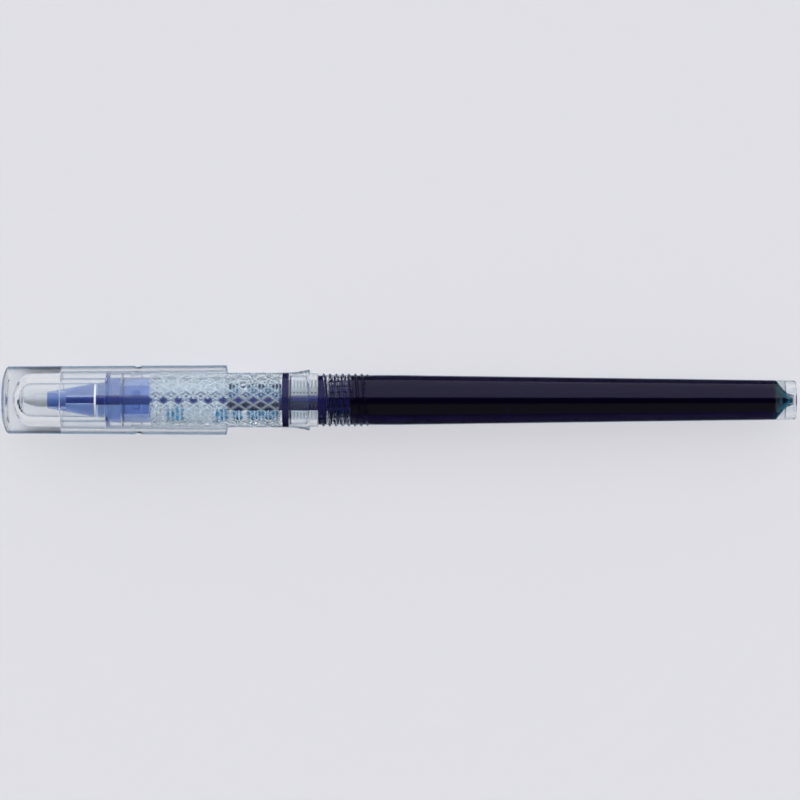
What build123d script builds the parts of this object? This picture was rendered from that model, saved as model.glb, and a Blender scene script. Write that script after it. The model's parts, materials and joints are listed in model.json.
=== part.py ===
"""Liquid-ink rollerball refill with a clear travel cap.

The axis is X, with +X towards the tail and +Z up. The origin is on the axis at the rear face
of the front housing's collar, where the refill seats in its pen. All sizes are in millimetres.
"""

from build123d import *
from math import cos, radians, sin, sqrt
import os

os.makedirs("parts", exist_ok=True)

# ---- driving sizes ---------------------------------------------------------------------

# fits, as clearances per side
PUSH_FIT = 0.01           # pieces pushed or welded together for good
WICK_FIT = 0.02           # wick in the bores it runs through
BALL_FIT = 0.02           # ball in its socket
CAP_FIT = 0.03            # cap's sealing taper on the holder's land
SNAP_FIT = 0.02           # cap's snap beads over the housing
FIN_FIT = 0.08            # collector fins inside the wall round them

# front housing: a clear tube that flares into a collar
HOUSING_LENGTH = 31.4
HOUSING_R = 4.31
HOUSING_WALL = 0.71
COLLAR_HEIGHT = 0.54      # outside the tube
COLLAR_EDGE = 0.12
FLARE_LENGTH = 4.2
COUNTERBORE_DEPTH = 4.27  # receives the reservoir's spigot
VENT_R = 0.5
VENT_FROM_COLLAR = 10.4
VENT_ANGLE = 37           # round from the top, towards +Y
RING_GROOVE_FROM_FRONT = 2.0
RING_GROOVE_WIDTH = 0.2
RING_GROOVE_DEPTH = 0.08
SNAP_GROOVE_FROM_FRONT = 4.3
SNAP_GROOVE_WIDTH = 1.4
SNAP_GROOVE_DEPTH = 0.1
SNAP_GROOVE_RAMP = 0.5

# reservoir: spigot, plain pilot band, threaded neck, long tapered barrel, closed tail
SPIGOT_DEPTH = 3.29       # inside the housing
PILOT_HEIGHT = 0.3        # outside the neck
PILOT_LENGTH = 1.28
REGISTER_DEPTH = 0.25     # the pilot band's conical foot, sunk into the collar
REGISTER_DROP = 0.15
NECK_BORE_R = 3.28
NECK_WALL = 0.62
NECK_LENGTH = 9.8         # collar to barrel
THREAD_HEIGHT = 0.28
THREAD_LEAD = 2.0
THREAD_STARTS = 2
THREAD_FROM_PILOT = 0.42
THREAD_TO_BARREL = 0.45
THREAD_BASE_WIDTH = 0.5
THREAD_CREST_WIDTH = 0.14
BARREL_R = 3.92
BARREL_PLAIN_LENGTH = 4.5
BARREL_WALL = 0.72
REFILL_REAR_LENGTH = 76.7  # collar to the tail's end face
TAIL_R = 3.08
TAIL_EDGE_R = 0.25
TAIL_RECESS_R = 2.0
TAIL_RECESS_DEPTH = 1.7
INK_CONE_LENGTH = 2.1     # the reservoir's bore closes in a cone
INK_CONE_END_R = 0.5
NIPPLE_BASE_R = 1.3       # sealed filling nipple inside the recess
NIPPLE_TIP_R = 0.7
NIPPLE_LENGTH = 1.4
NIPPLE_WALL = 0.25

# tip holder: conical nose, sealing land, flange, and a plug inside the housing
FLANGE_LIP = 0.04         # outside the housing
FLANGE_THICKNESS = 0.6
LAND_FILLET = 0.25
LAND_LENGTH = 1.55
LAND_FRONT_R = 2.75
LAND_TAPER = 0.15
NECK_GROOVE_WIDTH = 0.3
NECK_GROOVE_DEPTH = 0.16
NOSE_LENGTH = 7.45
NOSE_WALL = 0.21          # round the shank, at the nose's front
LAND_STEP = 0.05          # from the nose up to the land
NOSE_EDGE = 0.25
PLUG_LENGTH = 6.2
SOCKET_DEPTH = 4.6        # takes the collector's boss
SOCKET_R = 2.3

# steel writing point and its ball
POINT_R = 1.08
POINT_STICK_OUT = 4.05    # lip ahead of the holder's nose
POINT_CONE_LENGTH = 2.4
POINT_LIP_R = 0.45
SHANK_DEPTH = 3.0         # inside the holder
BALL_R = 0.4
BALL_PROUD = 0.25
BALL_FEED_R = 0.2
WICK_STOP = 1.6           # the wick's bore ends this far behind the lip

# wick
WICK_R = 0.475
WICK_END_GAP = 0.1        # wick end to the floor of its bore
WICK_TAIL = 0.6           # stands out of the collector into the ink

# collector: boss, core and fins
CORE_R = 2.0
BOSS_GAP = 0.3            # boss end to socket floor, and first fin to plug
COARSE_PITCH = 0.73
FINE_PITCH = 0.545
FIN_SHARE = 0.48          # fin thickness, as a share of the pitch
COARSE_LENGTH = 12.1
VENT_CHAMBER_WIDTH = 1.1
COMB_STOP_GAP = 0.15      # last housing fin to the counterbore's step
SPIGOT_SLOT = 0.3         # first ink slot inside the spigot
NECK_COMB_LENGTH = 6.4    # from the collar towards the tail
AIR_SLOT_WIDTH = 0.8
AIR_SLOT_ANGLE = 14       # round from the top, towards +Y
INK_SLOT_WIDTH = 0.2
INK_SLOT_ANGLE = -24      # round from the top, towards -Y

# ink that stands in the neck's fins
INK_RING_FROM_PILOT = 0.08
INK_RING_LENGTH = 1.34

# travel cap
CAP_WALL = 0.73           # round the socket's rim
CAP_TAPER = 0.2           # rim to closed end
CAP_OVERLAP = 18.3        # rim behind the housing's front face
CAP_END_WALL = 1.73
CAP_CROWN_HEIGHT = 0.7    # the closed end falls back this much from its flat to its edge
CAP_CROWN_FLAT_R = 2.6
CAP_END_EDGE_R = 0.25
CAP_POINT_GAP = 1.1       # chamber end to ball
CAP_SLEEVE_GAP = 0.1      # sleeve end to flange
CAP_SLEEVE_WALL = 0.57    # round the sealing land
CAP_SLEEVE_LENGTH = 7.1   # free length, behind the solid front
CAP_CHAMBER_TAPER = 0.13  # sealing land to domed end
CAP_SOCKET_GAP = 0.46     # round the housing, at the rim
CAP_SOCKET_TAPER = 0.2
BEAD_LENGTH = 1.2
BEAD_WIDTH = 2.8
BEAD_COUNT = 4
DIMPLE_LENGTH = 1.0
DIMPLE_WIDTH = 2.7
DIMPLE_CORNER_R = 0.3

# ---- stations along X and radii worked out from the driving sizes -----------------------

housing_front_x = -HOUSING_LENGTH
housing_bore_r = HOUSING_R - HOUSING_WALL
collar_r = HOUSING_R + COLLAR_HEIGHT
neck_root_r = NECK_BORE_R + NECK_WALL
pilot_r = neck_root_r + PILOT_HEIGHT
counterbore_x = -COUNTERBORE_DEPTH
register_x = -REGISTER_DEPTH - PUSH_FIT
counterbore_r = neck_root_r + PUSH_FIT
vent_x = -VENT_FROM_COLLAR
ring_groove_x = housing_front_x + RING_GROOVE_FROM_FRONT
snap_groove_x = housing_front_x + SNAP_GROOVE_FROM_FRONT

flange_x = housing_front_x - FLANGE_THICKNESS
land_rear_x = flange_x - LAND_FILLET
land_front_x = flange_x - LAND_LENGTH
nose_rear_x = land_front_x - NECK_GROOVE_WIDTH
nose_front_x = nose_rear_x - NOSE_LENGTH
land_rear_r = LAND_FRONT_R + LAND_TAPER
nose_rear_r = LAND_FRONT_R - LAND_STEP
flange_r = HOUSING_R + FLANGE_LIP
plug_r = housing_bore_r - PUSH_FIT
plug_rear_x = housing_front_x + PLUG_LENGTH
socket_floor_x = plug_rear_x - SOCKET_DEPTH

point_lip_x = nose_front_x - POINT_STICK_OUT
point_shoulder_x = point_lip_x + POINT_CONE_LENGTH
shank_rear_x = nose_front_x + SHANK_DEPTH
shank_bore_r = POINT_R + PUSH_FIT
nose_front_r = shank_bore_r + NOSE_WALL
ball_x = point_lip_x + BALL_R - BALL_PROUD
ball_socket_r = BALL_R + BALL_FIT
wick_bore_r = WICK_R + WICK_FIT
wick_stop_x = point_lip_x + WICK_STOP
wick_front_x = wick_stop_x + WICK_END_GAP

boss_r = SOCKET_R - PUSH_FIT
boss_front_x = socket_floor_x + BOSS_GAP
comb_front_x = plug_rear_x + BOSS_GAP
fine_comb_x = comb_front_x + COARSE_LENGTH
housing_fin_r = housing_bore_r - FIN_FIT
spigot_front_x = -SPIGOT_DEPTH
neck_comb_x = spigot_front_x + PUSH_FIT + SPIGOT_SLOT
neck_fin_r = NECK_BORE_R - FIN_FIT
wick_rear_x = NECK_COMB_LENGTH + WICK_TAIL

barrel_taper_x = NECK_LENGTH + BARREL_PLAIN_LENGTH
barrel_bore_r = BARREL_R - BARREL_WALL
recess_x = REFILL_REAR_LENGTH - TAIL_RECESS_DEPTH
nipple_tip_x = recess_x + NIPPLE_LENGTH
ink_tip_x = nipple_tip_x - NIPPLE_WALL
ink_tip_r = NIPPLE_TIP_R - NIPPLE_WALL
ink_cone_end_x = recess_x + (nipple_tip_x - recess_x) / 3
ink_cone_x = ink_cone_end_x - INK_CONE_LENGTH

cap_sleeve_end_x = flange_x - CAP_SLEEVE_GAP
cap_socket_x = cap_sleeve_end_x - CAP_SLEEVE_LENGTH
cap_chamber_x = point_lip_x - BALL_PROUD - CAP_POINT_GAP
cap_front_x = cap_chamber_x - CAP_END_WALL
cap_crown_x = cap_front_x + CAP_CROWN_HEIGHT
cap_rim_x = housing_front_x + CAP_OVERLAP
cap_bead_r = HOUSING_R + SNAP_FIT
cap_chamber_rear_r = LAND_FRONT_R + CAP_FIT
cap_chamber_r = cap_chamber_rear_r - CAP_CHAMBER_TAPER
cap_sleeve_r = land_rear_r + CAP_FIT + CAP_SLEEVE_WALL
cap_socket_rim_r = HOUSING_R + CAP_SOCKET_GAP
cap_socket_front_r = cap_socket_rim_r - CAP_SOCKET_TAPER
cap_rim_r = cap_socket_rim_r + CAP_WALL
cap_front_r = cap_rim_r - CAP_TAPER


def taper(x, front_x, front_r, rear_x, rear_r):
    """The radius at x of a cone between two stations."""
    return front_r + (rear_r - front_r) * (x - front_x) / (rear_x - front_x)


def radial_plane(x, angle):
    """A plane on the axis that faces outwards, angle degrees round from the top towards +Y."""
    outwards = (0, sin(radians(angle)), cos(radians(angle)))
    return Plane(origin=(x, 0, 0), x_dir=(1, 0, 0), z_dir=outwards)


# ---- ball and point ----------------------------------------------------------------------

with BuildPart() as writing_ball:
    with Locations((ball_x, 0, 0)):
        Sphere(BALL_R)
writing_ball.part.label = "writing_ball"

# a turned steel cone with a cylindrical shank, drilled from the rear for the wick
with BuildPart() as steel_point:
    with BuildSketch(Plane.XY):
        with BuildLine():
            Polyline(
                (point_lip_x, 0),
                (point_lip_x, POINT_LIP_R),
                (point_shoulder_x, POINT_R),
                (shank_rear_x, POINT_R),
                (shank_rear_x, wick_bore_r),
                (wick_stop_x, wick_bore_r),
                (wick_stop_x, 0),
                close=True,
            )
        make_face()
    revolve(axis=Axis.X)
    with Locations((ball_x, 0, 0)):
        Sphere(ball_socket_r, mode=Mode.SUBTRACT)
    with BuildSketch(Plane.YZ.offset(ball_x)):
        Circle(BALL_FEED_R)
    extrude(amount=wick_stop_x - ball_x, mode=Mode.SUBTRACT)
steel_point.part.label = "steel_point"

# ---- tip holder ----------------------------------------------------------------------------

# one moulding: the nose grips the shank, the land seals the cap, the plug closes the housing
with BuildPart() as tip_holder:
    with BuildSketch(Plane.XY):
        with BuildLine():
            Polyline(
                (nose_front_x, shank_bore_r),
                (nose_front_x, nose_front_r),
                (nose_rear_x, nose_rear_r),
                (nose_rear_x, nose_rear_r - NECK_GROOVE_DEPTH),
                (land_front_x, nose_rear_r - NECK_GROOVE_DEPTH),
                (land_front_x, LAND_FRONT_R),
                (land_rear_x, land_rear_r),
                (flange_x, land_rear_r + LAND_FILLET),
                (flange_x, flange_r),
                (housing_front_x, flange_r),
                (housing_front_x, plug_r),
                (plug_rear_x, plug_r),
                (plug_rear_x, SOCKET_R),
                (socket_floor_x, SOCKET_R),
                (socket_floor_x, wick_bore_r),
                (shank_rear_x, wick_bore_r),
                (shank_rear_x, shank_bore_r),
                close=True,
            )
        make_face()
    revolve(axis=Axis.X)
    nose_end = tip_holder.edges().filter_by(GeomType.CIRCLE).sort_by(Axis.X)
    chamfer(nose_end.filter_by(lambda e: e.radius > shank_bore_r)[0], length=NOSE_EDGE / 2)
tip_holder.part.label = "tip_holder"

# ---- wick ------------------------------------------------------------------------------------

# a bonded fibre rod that carries ink from the reservoir to the ball
with BuildPart() as wick:
    with BuildSketch(Plane.YZ.offset(wick_front_x)):
        Circle(WICK_R)
    extrude(amount=wick_rear_x - wick_front_x)
    chamfer(wick.edges().group_by(Axis.X)[0], length=WICK_R / 3)
wick.part.label = "wick"

# ---- front housing -----------------------------------------------------------------------------

with BuildPart() as front_housing:
    with BuildSketch(Plane.XY):
        with BuildLine():
            Polyline(
                (-COLLAR_EDGE, collar_r),
                (0, collar_r - COLLAR_EDGE),
                (0, pilot_r + PUSH_FIT),
                (register_x, pilot_r - REGISTER_DROP + PUSH_FIT),
                (register_x, counterbore_r),
                (counterbore_x, counterbore_r),
                (counterbore_x, housing_bore_r),
                (housing_front_x, housing_bore_r),
                (housing_front_x, HOUSING_R),
                (ring_groove_x - RING_GROOVE_WIDTH / 2, HOUSING_R),
                (ring_groove_x, HOUSING_R - RING_GROOVE_DEPTH),
                (ring_groove_x + RING_GROOVE_WIDTH / 2, HOUSING_R),
                (snap_groove_x - SNAP_GROOVE_WIDTH / 2 - SNAP_GROOVE_RAMP, HOUSING_R),
                (snap_groove_x - SNAP_GROOVE_WIDTH / 2, HOUSING_R - SNAP_GROOVE_DEPTH),
                (snap_groove_x + SNAP_GROOVE_WIDTH / 2, HOUSING_R - SNAP_GROOVE_DEPTH),
                (snap_groove_x + SNAP_GROOVE_WIDTH / 2 + SNAP_GROOVE_DEPTH, HOUSING_R),
                (-FLARE_LENGTH, HOUSING_R),
            )
            TangentArc((-FLARE_LENGTH, HOUSING_R), (-COLLAR_EDGE, collar_r), tangent=(1, 0))
        make_face()
    revolve(axis=Axis.X)
    # vent, through the wall on one side only
    with BuildSketch(radial_plane(vent_x, VENT_ANGLE)):
        Circle(VENT_R)
    extrude(amount=HOUSING_R + 1, mode=Mode.SUBTRACT)
front_housing.part.label = "front_housing"

# ---- collector ----------------------------------------------------------------------------------


def fin_stations(front_x, rear_x, pitch):
    """Front faces of as many whole fins as the stretch holds."""
    count = int((rear_x - front_x - pitch * FIN_SHARE) / pitch) + 1
    return [front_x + number * pitch for number in range(count)]


def comb_outline(front_x, rear_x, pitch, fin_r):
    """Outline points of one stretch of fins, from front to rear."""
    points = []
    for x in fin_stations(front_x, rear_x, pitch):
        back_x = x + pitch * FIN_SHARE
        points += [(x, CORE_R), (x, fin_r), (back_x, fin_r), (back_x, CORE_R)]
    return points


comb_stop_x = counterbore_x - COMB_STOP_GAP
collector_points = (
    [(boss_front_x, wick_bore_r), (boss_front_x, boss_r), (comb_front_x, boss_r)]
    + comb_outline(comb_front_x, fine_comb_x, COARSE_PITCH, housing_fin_r)[1:]
    + comb_outline(fine_comb_x, vent_x - VENT_CHAMBER_WIDTH / 2, FINE_PITCH, housing_fin_r)
    + comb_outline(vent_x + VENT_CHAMBER_WIDTH / 2, comb_stop_x, FINE_PITCH, housing_fin_r)
    + comb_outline(neck_comb_x, NECK_COMB_LENGTH, FINE_PITCH, neck_fin_r)
    + [(NECK_COMB_LENGTH, CORE_R), (NECK_COMB_LENGTH, wick_bore_r)]
)

# a comb of thin fins that holds back surplus ink by capillarity
with BuildPart() as collector:
    with BuildSketch(Plane.XY):
        with BuildLine():
            Polyline(*collector_points, close=True)
        make_face()
    revolve(axis=Axis.X)
    comb_length = NECK_COMB_LENGTH - comb_front_x
    with Locations(radial_plane(comb_front_x, AIR_SLOT_ANGLE).offset(CORE_R)):
        Box(
            comb_length, AIR_SLOT_WIDTH, HOUSING_R,
            align=(Align.MIN, Align.CENTER, Align.MIN), mode=Mode.SUBTRACT,
        )
    with Locations(radial_plane(comb_front_x, INK_SLOT_ANGLE)):
        Box(
            comb_length, INK_SLOT_WIDTH, HOUSING_R,
            align=(Align.MIN, Align.CENTER, Align.MIN), mode=Mode.SUBTRACT,
        )
collector.part.label = "collector"

# ---- reservoir ------------------------------------------------------------------------------------

tail_bore_r = taper(ink_cone_x, barrel_taper_x, BARREL_R, REFILL_REAR_LENGTH, TAIL_R) - BARREL_WALL

reservoir_bore = [
    (spigot_front_x, NECK_BORE_R),
    (NECK_LENGTH, NECK_BORE_R),
    (barrel_taper_x, barrel_bore_r),
    (ink_cone_x, tail_bore_r),
    (ink_cone_end_x, INK_CONE_END_R),
    (ink_tip_x, ink_tip_r),
    (ink_tip_x, 0),
]

thread_x = PILOT_LENGTH + THREAD_FROM_PILOT
thread_helix = Helix(
    pitch=THREAD_LEAD, height=NECK_LENGTH - THREAD_TO_BARREL - thread_x, radius=neck_root_r,
    center=(thread_x, 0, 0), direction=(1, 0, 0),
)

with BuildPart() as reservoir:
    with BuildSketch(Plane.XY):
        with BuildLine():
            Polyline(
                *reservoir_bore,
                (nipple_tip_x, 0),
                (nipple_tip_x, NIPPLE_TIP_R),
                (recess_x, NIPPLE_BASE_R),
                (recess_x, TAIL_RECESS_R),
                (REFILL_REAR_LENGTH, TAIL_RECESS_R),
                (REFILL_REAR_LENGTH, TAIL_R),
                (barrel_taper_x, BARREL_R),
                (NECK_LENGTH, BARREL_R),
                (NECK_LENGTH, neck_root_r),
                (PILOT_LENGTH, neck_root_r),
                (PILOT_LENGTH, pilot_r),
                (0, pilot_r),
                (-REGISTER_DEPTH, pilot_r - REGISTER_DROP),
                (-REGISTER_DEPTH, neck_root_r),
                (spigot_front_x, neck_root_r),
                close=True,
            )
        make_face()
    revolve(axis=Axis.X)
    fillet(reservoir.edges().filter_by(lambda e: abs(e.center().X - REFILL_REAR_LENGTH) < 1e-3), TAIL_EDGE_R)
    # two-start right-hand thread
    for start in range(THREAD_STARTS):
        turn = 360 * start / THREAD_STARTS
        helix = thread_helix.rotate(Axis.X, turn)
        outwards = Vector(0, (helix @ 0).Y, (helix @ 0).Z)
        section = Plane(helix @ 0, x_dir=outwards, z_dir=helix % 0)
        with BuildSketch(section):
            with BuildLine():
                Polyline(
                    (-PUSH_FIT, -THREAD_BASE_WIDTH / 2),
                    (THREAD_HEIGHT, -THREAD_CREST_WIDTH / 2),
                    (THREAD_HEIGHT, THREAD_CREST_WIDTH / 2),
                    (-PUSH_FIT, THREAD_BASE_WIDTH / 2),
                    close=True,
                )
            make_face()
        sweep(path=helix, is_frenet=True)
reservoir.part.label = "reservoir"

# ---- ink ---------------------------------------------------------------------------------------------


def ink_ring(front_x, rear_x, outer_r):
    """Ink that fills the comb's slots over one stretch, from the core out to the wall."""
    with BuildPart() as ring:
        with BuildSketch(Plane.XY):
            with BuildLine():
                Polyline(
                    (front_x, wick_bore_r),
                    (rear_x, wick_bore_r),
                    (rear_x, outer_r),
                    (front_x, outer_r),
                    close=True,
                )
            make_face()
        revolve(axis=Axis.X)
        add(collector.part, mode=Mode.SUBTRACT)
    return ring.part


# ink that stands in the collector: the gap before the spigot, its first slot, and the neck
ink_ring_x = PILOT_LENGTH + INK_RING_FROM_PILOT
with BuildPart() as collector_ink:
    add(ink_ring(counterbore_x, spigot_front_x, counterbore_r))
    add(ink_ring(neck_comb_x - SPIGOT_SLOT, neck_comb_x, NECK_BORE_R))
    add(ink_ring(ink_ring_x, ink_ring_x + INK_RING_LENGTH, NECK_BORE_R))
collector_ink.part.label = "collector_ink"

# the main charge, from the collector's last fin to the tail
with BuildPart() as ink_charge:
    with BuildSketch(Plane.XY):
        with BuildLine():
            Polyline(
                (NECK_COMB_LENGTH, 0),
                (NECK_COMB_LENGTH, NECK_BORE_R),
                *reservoir_bore[1:],
                close=True,
            )
        make_face()
    revolve(axis=Axis.X)
    with BuildSketch(Plane.YZ.offset(NECK_COMB_LENGTH)):
        Circle(WICK_R)
    extrude(amount=WICK_TAIL, mode=Mode.SUBTRACT)
ink_charge.part.label = "ink_charge"

# ---- travel cap -------------------------------------------------------------------------------------------

# one moulding: a thick closed front with a domed chamber for the point, a sleeve that seals on
# the holder's land, and a socket round the housing with snap beads
with BuildPart() as travel_cap:
    with BuildSketch(Plane.XY):
        with BuildLine():
            dome_x = cap_chamber_x + cap_chamber_r
            Line((cap_front_x, 0), (cap_chamber_x, 0))
            RadiusArc((cap_chamber_x, 0), (dome_x, cap_chamber_r), cap_chamber_r)
            Polyline(
                (dome_x, cap_chamber_r),
                (land_front_x, cap_chamber_rear_r),
                (land_rear_x, land_rear_r + CAP_FIT),
                (cap_sleeve_end_x, land_rear_r + CAP_FIT + LAND_FILLET),
                (cap_sleeve_end_x, cap_sleeve_r),
                (cap_socket_x, cap_sleeve_r),
                (cap_socket_x, cap_socket_front_r),
                (cap_rim_x, cap_socket_rim_r),
                (cap_rim_x, cap_rim_r),
                (cap_crown_x, cap_front_r),
            )
            TangentArc((cap_front_x, CAP_CROWN_FLAT_R), (cap_crown_x, cap_front_r), tangent=(0, 1))
            Line((cap_front_x, CAP_CROWN_FLAT_R), (cap_front_x, 0))
        make_face()
    revolve(axis=Axis.X)
    fillet(travel_cap.edges().filter_by(lambda e: abs(e.center().X - cap_crown_x) < 1e-3), CAP_END_EDGE_R)
    outer_r = taper(snap_groove_x, cap_crown_x, cap_front_r, cap_rim_x, cap_rim_r)
    bead_root_r = outer_r - CAP_WALL / 2
    with Locations(Plane.YZ.offset(snap_groove_x)):
        with PolarLocations(cap_bead_r, BEAD_COUNT):
            Box(
                bead_root_r - cap_bead_r, BEAD_WIDTH, BEAD_LENGTH,
                align=(Align.MIN, Align.CENTER, Align.CENTER),
            )
    # sink dimples over the beads
    dimple_floor_r = sqrt(outer_r**2 - (DIMPLE_WIDTH / 2) ** 2)
    for number in range(BEAD_COUNT):
        with BuildSketch(radial_plane(snap_groove_x, number * 360 / BEAD_COUNT).offset(dimple_floor_r)):
            RectangleRounded(DIMPLE_LENGTH, DIMPLE_WIDTH, DIMPLE_CORNER_R)
        extrude(amount=cap_rim_r, mode=Mode.SUBTRACT)
travel_cap.part.label = "travel_cap"

# ---- STEP files ------------------------------------------------------------------------------------------------

pieces = (
    travel_cap, writing_ball, steel_point, tip_holder, wick, front_housing,
    collector, reservoir, collector_ink, ink_charge,
)
for piece in pieces:
    export_step(piece.part, f"parts/{piece.part.label}.step")
    size = piece.part.bounding_box()
    print(f"{piece.part.label:15} {piece.part.volume:9.2f} mm3  x {size.min.X:7.2f} .. {size.max.X:6.2f}")
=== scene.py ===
# %% [markdown]
# # A rollerball refill in its travel cap
# Nearly every piece of this refill is clear, so what the eye sees is mostly refraction: wall
# thickness, air gaps and wet contact decide the picture more than colour does. Each moulding is
# therefore a closed solid with its true inner and outer walls, made in the frame that the CAD
# model gives: metres, X along the pen towards its tail, Z up, origin at the housing's collar.

import json
import math

import bmesh
import bpy
from mathutils import Matrix, Vector

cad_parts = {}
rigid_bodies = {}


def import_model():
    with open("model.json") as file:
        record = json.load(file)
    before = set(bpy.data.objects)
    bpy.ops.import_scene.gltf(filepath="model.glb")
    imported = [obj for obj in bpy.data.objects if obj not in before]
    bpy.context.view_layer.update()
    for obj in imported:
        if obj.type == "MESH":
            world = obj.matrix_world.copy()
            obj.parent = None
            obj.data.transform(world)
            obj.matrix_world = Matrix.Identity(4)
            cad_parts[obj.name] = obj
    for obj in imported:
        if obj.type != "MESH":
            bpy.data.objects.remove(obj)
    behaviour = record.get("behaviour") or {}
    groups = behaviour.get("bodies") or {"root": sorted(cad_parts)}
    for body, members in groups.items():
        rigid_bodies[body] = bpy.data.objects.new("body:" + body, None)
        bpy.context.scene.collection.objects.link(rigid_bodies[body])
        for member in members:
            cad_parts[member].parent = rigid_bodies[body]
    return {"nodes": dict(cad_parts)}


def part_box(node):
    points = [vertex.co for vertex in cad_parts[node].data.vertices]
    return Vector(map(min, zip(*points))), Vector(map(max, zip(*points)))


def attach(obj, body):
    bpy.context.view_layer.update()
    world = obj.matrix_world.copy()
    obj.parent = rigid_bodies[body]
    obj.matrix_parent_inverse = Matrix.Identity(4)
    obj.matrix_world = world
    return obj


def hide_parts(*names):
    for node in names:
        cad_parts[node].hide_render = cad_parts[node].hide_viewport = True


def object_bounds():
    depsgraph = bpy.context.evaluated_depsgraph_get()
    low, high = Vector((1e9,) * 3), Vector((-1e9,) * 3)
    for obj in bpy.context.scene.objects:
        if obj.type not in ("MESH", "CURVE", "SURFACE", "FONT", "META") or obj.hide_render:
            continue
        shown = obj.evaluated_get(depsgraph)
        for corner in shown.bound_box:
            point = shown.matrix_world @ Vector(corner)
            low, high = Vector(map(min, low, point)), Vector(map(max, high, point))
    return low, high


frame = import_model()
cad_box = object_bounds()
MM = 0.001
print("nodes:", sorted(frame["nodes"]))

# %% [markdown]
# ## Stations
# The ends and largest radii of the pieces are read from the frame. Walls, bores and fits are the
# moulding's own sizes in millimetres, and everything else is worked out from the two.

# %% stations read from the frame


def span(node):
    """Front end, rear end and largest radius of a CAD node, in millimetres."""
    low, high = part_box(node)
    return low.x / MM, high.x / MM, max(high.y, high.z) / MM


cap_front, cap_rim, cap_r = span("travel_cap")
ball_front, ball_rear, ball_r = span("writing_ball")
point_lip, shank_rear, point_r = span("steel_point")
nose_front, plug_rear, flange_r = span("tip_holder")
wick_front, wick_rear, wick_r = span("wick")
housing_front, _, collar_r = span("front_housing")
boss_front, comb_rear, fin_r = span("collector")
spigot_front, tail_end, pilot_r = span("reservoir")
counterbore, neck_ink_rear, counterbore_r = span("collector_ink")
charge_front, ink_tip, _ = span("ink_charge")
print(f"refill {tail_end - point_lip:.1f} mm long, cap {cap_rim - cap_front:.1f} mm long")

# %% sizes of the mouldings, in millimetres
HOUSING_R = 4.31
HOUSING_BORE = 3.6
FLARE_LENGTH = 4.2
COLLAR_EDGE = 0.12
NECK_R = 3.9
NECK_BORE = 3.28
NECK_LENGTH = 9.8
PILOT_LENGTH = 1.28
REGISTER_DEPTH = 0.25
REGISTER_DROP = 0.15
BARREL_R = 3.92
BARREL_PLAIN_END = 14.3
BARREL_WALL = 0.72
TAIL_R = 3.08
CORE_R = 2.0
BOSS_R = 2.29
WICK_BORE = 0.495
SOCKET_R = 2.3
FIT = 0.01                 # clearance of a press fit
FIN_FIT = 0.08
print(f"walls: housing {HOUSING_R - HOUSING_BORE:.2f} mm, neck {NECK_R - NECK_BORE:.2f} mm")

# %% [markdown]
# ## Turned shapes
# Most of these pieces are bodies of revolution, moulded or turned. The Screw modifier or Spin
# could make them, but both leave a seam to merge. Here each corner of an outline becomes one ring
# of points, and a corner on the axis becomes one point, so poles and seams are closed from the
# start. A corner may carry a third number, its rounding radius. Smooth shading would bend light
# along a whole long wall between two rounded edges, so each long line gets a support ring near
# both ends, as a modeller adds support loops.

# %% outlines with rounded corners
ARC_STEPS = 5              # chords in a rounded corner
SUPPORT = 0.06             # distance of a support point from its corner, in millimetres


def rounded(corners, closed):
    """The outline as plain (x, r) points, with an arc wherever a corner has a rounding radius."""
    points = []
    for number, corner in enumerate(corners):
        here = Vector(corner[:2])
        ends = not closed and number in (0, len(corners) - 1)
        if len(corner) < 3 or ends:
            points.append(here)
            continue
        before = (Vector(corners[number - 1][:2]) - here).normalized()
        after = (Vector(corners[(number + 1) % len(corners)][:2]) - here).normalized()
        half = before.angle(after) / 2
        reach = corner[2] / math.tan(half)
        middle = here + (before + after).normalized() * corner[2] / math.sin(half)
        start, stop = here + before * reach - middle, here + after * reach - middle
        turn = start.angle_signed(stop)
        for step in range(ARC_STEPS + 1):
            angle = -turn * step / ARC_STEPS
            across = Vector((-start.y, start.x))
            points.append(middle + start * math.cos(angle) + across * math.sin(angle))
    return points


def supported(points, closed):
    """The same outline with an extra point near both ends of each long line, so that the shading of
    a rounded edge stays at the edge."""
    result = []
    following = points[1:] + points[:1] if closed else points[1:]
    for here, there in zip(points, following):
        result.append(here)
        length = (there - here).length
        if length > 4 * SUPPORT:
            result.append(here.lerp(there, SUPPORT / length))
            result.append(there.lerp(here, SUPPORT / length))
    return result if closed else result + [points[-1]]


def stations(front, rear, step):
    """Evenly spaced places from front to rear, about a step apart, both ends included."""
    count = max(1, round((rear - front) / step))
    return [front + (rear - front) * number / count for number in range(count + 1)]


print("a rounded corner becomes", ARC_STEPS + 1, "points")

# %% one ring of points for each corner
ON_AXIS = 1e-6
SHARP = math.radians(32)   # faces that meet at more than this keep a crisp edge


def finished(name, bm):
    """Turns a bmesh into an object in the scene."""
    mesh = bpy.data.meshes.new(name)
    bm.to_mesh(mesh)
    bm.free()
    piece = bpy.data.objects.new(name, mesh)
    bpy.context.scene.collection.objects.link(piece)
    return piece


def turned(name, corners, closed=True, around=192):
    """A solid of revolution about X. closed joins the last corner to the first, as on a tube."""
    points = supported(rounded(corners, closed), closed)
    bm = bmesh.new()
    rings = []
    for x, r in points:
        if r < ON_AXIS:
            rings.append([bm.verts.new((x * MM, 0, 0))] * around)
            continue
        ring = []
        for step in range(around):
            angle = math.tau * step / around
            ring.append(bm.verts.new((x * MM, r * MM * math.cos(angle), r * MM * math.sin(angle))))
        rings.append(ring)
    for here, after in zip(rings, rings[1:] + rings[:1] if closed else rings[1:]):
        for step in range(around):
            following = (step + 1) % around
            quad = [here[step], here[following], after[following], after[step]]
            corners_used = list(dict.fromkeys(quad))
            if len(corners_used) > 2:
                bm.faces.new(corners_used)
    bmesh.ops.recalc_face_normals(bm, faces=bm.faces[:])
    return finished(name, bm)


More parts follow.
